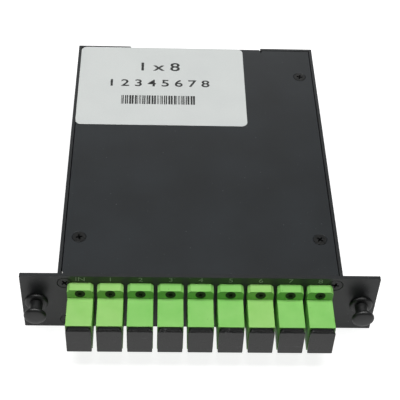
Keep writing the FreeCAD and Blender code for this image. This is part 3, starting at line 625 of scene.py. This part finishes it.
def fill_slit(tray, side):
    """Brings one end of the rear wall up to its side wall. Side is -1 or 1."""
    _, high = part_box("base_tray")
    wall_end = side * (high.x - SHEET - SLIT)

    def at_slit(face):
        middle = face.calc_center_median()
        beside = abs(middle.x - wall_end) < NEAR
        return beside and middle.y > high.y - REAR_WALL and abs(face.normal.x) > FACING

    pick(tray, "faces", at_slit)
    bpy.ops.transform.translate(value=(side * (SLIT - SLIT_OPEN), 0, 0))


def fill_slits(tray):
    """Closes the slits at the rear corners, as the thick paint does."""
    edit(tray)
    for side in (-1, 1):
        fill_slit(tray, side)
    leave_edit()


def make_label(paints):
    """A die-cut label with round corners on the lid, with plain bars and numbers."""
    low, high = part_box("label")
    size = high - low
    middle = (low + high) / 2
    label = added(
        "paper_label",
        bpy.ops.mesh.primitive_plane_add,
        size=1.0,
        location=(middle.x, middle.y, low.z),
    )
    label.scale = (size.x, size.y, 1)
    settle(label)
    edit(label, "VERT")
    bpy.ops.mesh.select_all(action="SELECT")
    bpy.ops.mesh.bevel(offset=LABEL_CORNER, segments=10, affect="VERTICES")
    bpy.ops.mesh.select_mode(type="FACE")
    bpy.ops.mesh.select_all(action="SELECT")
    bpy.ops.mesh.extrude_region_move(TRANSFORM_OT_translate={"value": (0, 0, size.z)})
    bpy.ops.mesh.select_all(action="SELECT")
    bpy.ops.mesh.normals_make_consistent(inside=False)
    leave_edit()
    bevelled(label, LABEL_EDGE, segments=1, angle=60.0)
    finished(label, paints["label"], node="label")
    print_label(low, high, paints["black_ink"])


def print_label(low, high, paint):
    """A row of plain bars and the port numbers, printed on the label."""
    size = high - low
    middle = low.x + size.x * PRINT_MIDDLE
    print_bars(middle, low.y + size.y * BAR_ROW, high.z, paint)
    for i, (words, row, height) in enumerate(PRINT_LINES):
        name = f"label_line_{i}"
        spot = Vector((middle, low.y + size.y * row, high.z))
        line = lettering(name, words, height, spot, 0.0, PRINT_WEIGHT, PRINT_STRETCH)
        finished(line, paint)


def print_bars(middle, row, level, paint):
    """Plain bars one to three units wide, in a made-up order that stands for nothing."""
    bars = []
    at = middle - BARS_LEFT
    for i in range(BAR_COUNT):
        wide = (1 + (i * i + i // 3) % 3) * BAR_UNIT
        gap = (1 + i % 2) * BAR_UNIT
        bar = added(
            f"label_bar_{i}",
            bpy.ops.mesh.primitive_cube_add,
            size=1.0,
            location=(at + wide / 2, row, level + INK / 2),
        )
        bar.scale = (wide, BAR_HEIGHT, INK)
        settle(bar)
        bars.append(bar)
        at += wide + gap
    deselect()
    for bar in bars:
        bar.select_set(True)
    bpy.context.view_layer.objects.active = bars[0]
    bpy.ops.object.join()
    bars[0].name = "label_bars"
    finished(bars[0], paint)


def lettering(name, words, height, spot, tilt, weight, stretch):
    """Flat printed characters about a spot, lying down or tilted up to look towards -Y."""
    text = added(name, bpy.ops.object.text_add)
    text.data.body = words
    text.data.size = height / CAPITAL
    text.data.align_x = "CENTER"
    text.data.align_y = "CENTER"
    text.data.offset = weight
    text.data.extrude = INK / 2
    only(text)
    bpy.ops.object.convert(target="MESH")
    text = bpy.context.object
    edit(text)
    bpy.ops.mesh.select_all(action="SELECT")
    bpy.ops.mesh.remove_doubles(threshold=INK / 2)
    leave_edit()
    text.location = spot
    text.rotation_euler = (tilt, 0, 0)
    text.scale = (stretch, 1, 1)
    return settle(text)


def make_marks(paints):
    """The printed port marks above the adapters."""
    row = PLATE_MIDDLE.z + MARK_ROW
    for port, x in PORT_X.items():
        name = f"mark_{port}"
        words = port.upper()
        spot = Vector((x, PLATE_LOW.y, row))
        mark = lettering(name, words, MARK_HEIGHT, spot, QUARTER_TURN, MARK_WEIGHT, MARK_STRETCH)
        finished(mark, paints["white_ink"])


# ---- Screws ----------------------------------------------------------------------------------
def cross_cutter(wide, arm):
    """A tapered cross that points along -Z from the origin, for a driver's recess."""
    deep = CROSS_DEPTH * wide
    bars = []
    for turn in (0.0, QUARTER_TURN):
        bar = added("cross_bar", bpy.ops.mesh.primitive_cube_add, size=1.0)
        bar.scale = (wide, arm, 2 * deep)
        bar.rotation_euler = (0, 0, turn)
        settle(bar)
        edit(bar)
        pick(bar, "faces", looks_down)
        taper = (CROSS_TAPER, CROSS_TAPER, 1)
        bpy.ops.transform.resize(value=taper, center_override=(0, 0, -deep))
        leave_edit()
        bars.append(bar)
    cutter, other = bars
    only(cutter)
    union = cutter.modifiers.new("Join", "BOOLEAN")
    union.operation = "UNION"
    union.solver = "EXACT"
    union.object = other
    bpy.ops.object.modifier_apply(modifier=union.name)
    bpy.data.objects.remove(other)
    return cutter


def flat_head(size):
    """A countersunk screw in millimetres, face up at the origin, with a cross recess. A brim
    stands above the origin."""
    deep = size["head"] - size["thread"]
    screw = added(
        size["name"],
        bpy.ops.mesh.primitive_cone_add,
        vertices=SCREW_SIDES,
        radius1=size["thread"],
        radius2=size["head"] - size["wear"],
        depth=deep,
        location=(0, 0, -deep / 2),
    )
    settle(screw)
    edit(screw)
    pick(screw, "faces", looks_up)
    if size["brim"]:
        share = size["brim"] / size["head"]
        bpy.ops.mesh.extrude_region_move()
        bpy.ops.transform.resize(value=(share, share, 1), center_override=(0, 0, 0))
        bpy.ops.mesh.extrude_region_move(TRANSFORM_OT_translate={"value": (0, 0, BRIM_HEIGHT)})
    edge = BRIM_EDGE if size["brim"] else HEAD_EDGE
    bpy.ops.mesh.bevel(offset=edge, segments=2, affect="EDGES")
    pick(screw, "faces", looks_down)
    shank = (0, 0, deep - size["length"])
    bpy.ops.mesh.extrude_region_move(TRANSFORM_OT_translate={"value": shank})
    leave_edit()
    return carve(screw, cross_cutter(size["cross"], size["arm"]))


def make_screws(paints):
    """Every visible screw, each with its recess turned differently."""
    to_front = Matrix.Rotation(QUARTER_TURN, 4, "X")
    for node, size in SCREWS.items():
        model = flat_head(size)
        low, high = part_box(node)
        edge = size["seat"] * MM
        sink = (-RAISED if size["brim"] else SUNK) * MM
        in_lid = node == "lid_screws"
        columns = [low.x + edge, high.x - edge]
        if node == "adapter_screws":
            columns = list(PORT_X.values())
        rows = [low.y + edge, high.y - edge] if in_lid else [low.z + edge, high.z - edge]
        for i, x in enumerate(columns):
            for j, row in enumerate(rows):
                screw = twin(model, f"{node[:-1]}_{i}_{j}")
                degrees = RECESS_TURN + RECESS_ACROSS * i + RECESS_UP * j
                turn = Matrix.Rotation(math.radians(degrees), 4, "Z")
                if in_lid:
                    placed(screw, Vector((x, row, high.z - sink)), turn)
                else:
                    placed(screw, Vector((x, low.y + sink, row)), to_front @ turn)
                finished(screw, paints[size["paint"]], node=node)
        bpy.data.objects.remove(model)


# ---- Ports -----------------------------------------------------------------------------------
def make_ports(paints):
    """The moulded adapters and their caps."""
    for port in PORTS:
        adapter = merged_copy(f"adapter_{port}", f"moulded_adapter_{port}")
        bevelled(adapter, MOULD_EDGE)
        green = paints["warm_green" if port in WARM_PORTS else "green"]
        finished(adapter, green, node=f"adapter_{port}")
        body = f"dust_cap_{port}"
        cap = merged_copy(body, f"moulded_cap_{port}")
        bevelled(cap, CAP_EDGE)
        finished(cap, paints["cap"], body=body, node=body)
        make_mould_line(port, paints["cap"])


def make_mould_line(port, paint):
    """The fine upright parting line on a cap's face."""
    low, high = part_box(f"dust_cap_{port}")
    middle = (low + high) / 2
    line = added(
        f"cap_line_{port}",
        bpy.ops.mesh.primitive_cylinder_add,
        vertices=8,
        radius=MOULD_LINE,
        depth=high.z - low.z - MOULD_LINE_ENDS,
        location=(middle.x, low.y + MOULD_LINE_DEPTH, middle.z),
    )
    settle(line)
    finished(line, paint, body=f"dust_cap_{port}")


# ---- Latches ---------------------------------------------------------------------------------
def latch_plunger():
    """A domed knob, its neck and its nose, in millimetres from the plate's front face."""
    return turned("latch_plunger", [
        (0.3, -7.90), (1.3, -7.87), (2.3, -7.78), (3.1, -7.62), (3.62, -7.42), (3.93, -7.12),
        (4.07, -6.75), (4.10, -6.40), (4.02, -6.10), (3.8, -5.87), (3.4, -5.76), (2.7, -5.73),
        (2.48, -5.62), (2.4, -5.40), (2.4, 1.7), (1.85, 2.1), (1.85, 8.4), (1.4, 8.85),
    ])


def latch_barrel():
    """A barrel with a round-edged flange, its bore and the slit between its legs."""
    barrel = turned("latch_barrel", [
        (2.45, -1.26), (3.3, -1.26), (3.68, -1.18), (3.98, -0.98), (4.2, -0.68), (4.3, -0.3),
        (4.3, 0.0), (3.15, 0.0), (3.15, 1.55), (3.45, 1.55), (3.15, 2.75), (3.15, 9.0),
        (2.0, 9.0), (2.0, 6.6), (2.45, 6.6), (2.45, -1.26),
    ], tube=True)
    slit = added("slit", bpy.ops.mesh.primitive_cube_add, size=1.0, location=LEG_SLIT_MIDDLE)
    slit.scale = LEG_SLIT
    settle(slit)
    return carve(barrel, slit)


def make_latches(paints):
    """The push-pull latches: a slit barrel and its plunger."""
    plunger = latch_plunger()
    barrel = latch_barrel()
    for side, x in LATCH_X.items():
        at = Vector((x, PLATE_LOW.y, PLATE_MIDDLE.z))
        body = f"plunger_{side}"
        knob = placed(twin(plunger, f"latch_plunger_{side}"), at)
        finished(knob, paints["nylon"], body=body, node=body)
        sleeve = placed(twin(barrel, f"latch_barrel_{side}"), at)
        finished(sleeve, paints["nylon"], node=f"grommet_{side}")
    for model in (plunger, barrel):
        bpy.data.objects.remove(model)


# ---- Everything ------------------------------------------------------------------------------
def paint_inner(paints):
    """Materials of the pieces that stay as the frame has them."""
    inner = {
        "lid_brackets": "zinc",
        "adapter_nuts": "zinc",
        "alignment_sleeves": "ceramic",
        "ferrules": "ceramic",
        "connector_boots": "boot",
        "module_tube": "tube",
        "module_end_plugs": "end_plug",
        "splitter_chip": "silica",
        "mounting_tape": "foam",
    }
    inner |= {f"connector_{port}": "green" for port in PORTS}
    inner |= {f"fibre_{port}": "fibre" for port in PORTS}
    for node, paint in inner.items():
        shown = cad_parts[node]
        shown.data.materials.clear()
        shown.data.materials.append(paints[paint])


def make_paints():
    """Every material by a short name. The lid's paint is chipped at its front left corner, where the
    bare steel and its glint are painted near-white.
    """
    chip_and_glint = Vector((LID_LOW.x + 0.1 * MM, LID_LOW.y + 0.1 * MM, LID_HIGH.z))
    return {
        "case": powder_coat("powder_coated_steel_case", "#222425", "#292B2D"),
        # The lid's coat carries the chipped spot with its painted glint.
        "lid": powder_coat("powder_coated_steel_lid", "#212426", "#282C2F", chip_and_glint),
        "plate": powder_coat("powder_coated_steel_plate", "#222425", "#292B2D"),
        "green": moulded_green("moulded_pbt_green", "#88D068", "#94D673"),
        "warm_green": moulded_green("moulded_pbt_warm_green", "#95D36E", "#A2DA7B"),
        "cap": cap_plastic("moulded_polyethylene_black"),
        "nylon": latch_nylon("moulded_nylon_black"),
        "screw": blackened_steel("black_oxide_steel", "#131414", "#1F2020", Metallic=0.15),
        "small_screw": blackened_steel(
            "black_zinc_steel", "#090909", "#121212", Specular_IOR_Level=0.3
        ),
        "label": label_film("coated_paper_label"),
        "black_ink": ink("printed_black_ink", "#1C1D1D"),
        # The port marks are white ink, greyed here to paint in the shade that they lie in.
        "white_ink": ink("thin_printed_white_ink", "#A6A9A4"),
        "zinc": plated_steel("zinc_plated_steel", "#B9BDC0", "#D8DBDD", 0.34),
        "tube": plated_steel("drawn_stainless_tube", "#A9ACAE", "#C9CBCC", 0.26),
        "ceramic": soft_moulding("polished_zirconia", "#E9E8E1", "#F4F3EE", 1.5 * MM, 0.18),
        "boot": soft_moulding("moulded_rubber_boot", "#4FA034", "#5CAE40", 0.5 * MM, 0.55),
        "fibre": soft_moulding("extruded_pvc_jacket", "#E2E2DE", "#EFEFEC", 0.6 * MM, 0.42),
        "end_plug": soft_moulding("moulded_rubber_plug", "#181818", "#242424", 0.4 * MM, 0.6),
        "foam": soft_moulding("acrylic_foam_tape", "#CFCFC8", "#E4E4DE", 0.5 * MM, 0.8),
        "silica": silica("lapped_silica"),
    }


set_camera()
set_light()
set_floor()
PAINTS = make_paints()
make_case(PAINTS)
make_label(PAINTS)
make_marks(PAINTS)
make_screws(PAINTS)
make_ports(PAINTS)
make_latches(PAINTS)
paint_inner(PAINTS)
bpy.context.scene.view_settings.view_transform = "Standard"
